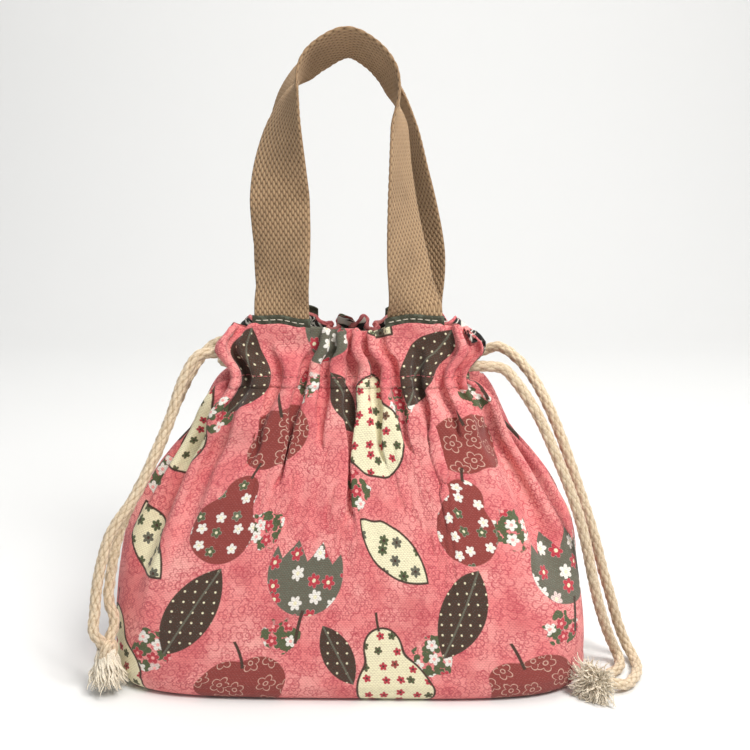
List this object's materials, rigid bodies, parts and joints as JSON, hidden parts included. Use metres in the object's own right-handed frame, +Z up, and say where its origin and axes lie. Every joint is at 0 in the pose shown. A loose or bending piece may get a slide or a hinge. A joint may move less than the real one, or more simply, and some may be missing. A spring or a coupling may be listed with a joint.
{
  "type": "drawstring bento bag",
  "caption": "Drawstring lunch bag of printed canvas on a flat base, gathered into two open-ended casings, with knotted cotton cords and webbing loop handles.",
  "frame": {"origin": "middle of the base on the table", "axes": "+Z up, +X along the bag to the right as the picture shows it, -Y to the front"},
  "size_m": [0.2867, 0.1286, 0.3248],
  "materials": {
    "printed_canvas": "matt cotton canvas with a printed pattern",
    "lining_cloth": "plain cotton",
    "handle_webbing": "coarse woven cotton webbing",
    "cotton_cord": "braided cotton, frayed at the ends"
  },
  "bodies": {
    "bag": {"outer_front_panel": "printed_canvas", "outer_back_panel": "printed_canvas", "outer_base_panel": "printed_canvas", "lining_front_panel": "lining_cloth", "lining_back_panel": "lining_cloth", "lining_base_panel": "lining_cloth", "front_casing": "printed_canvas", "back_casing": "printed_canvas", "front_left_handle_end": "handle_webbing", "front_right_handle_end": "handle_webbing", "back_left_handle_end": "handle_webbing", "back_right_handle_end": "handle_webbing", "left_cord_hidden_run": "cotton_cord", "right_cord_hidden_run": "cotton_cord"},
    "front_handle": {"front_handle_loop": "handle_webbing"},
    "back_handle": {"back_handle_loop": "handle_webbing"},
    "left_drawstring": {"left_cord_front_strand": "cotton_cord", "left_cord_back_strand": "cotton_cord", "left_knot": "cotton_cord", "left_tassel": "cotton_cord"},
    "right_drawstring": {"right_cord_front_strand": "cotton_cord", "right_cord_back_strand": "cotton_cord", "right_knot": "cotton_cord", "right_tassel": "cotton_cord"}
  },
  "joints": [
    {"name": "front_handle_fold", "type": "hinge", "parent": "bag", "child": "front_handle", "pos_m": [0, -0.0202, 0.18995], "axis": [1, 0, 0], "range_deg": [0, 140]},
    {"name": "back_handle_fold", "type": "hinge", "parent": "bag", "child": "back_handle", "pos_m": [0, 0.0202, 0.18995], "axis": [-1, 0, 0], "range_deg": [0, 140]},
    {"name": "left_cord_draw", "type": "slide", "parent": "bag", "child": "left_drawstring", "axis": [-1, 0, 0], "range_m": [0, 0.024]},
    {"name": "right_cord_draw", "type": "slide", "parent": "bag", "child": "right_drawstring", "axis": [1, 0, 0], "range_m": [0, 0.024]}
  ]
}
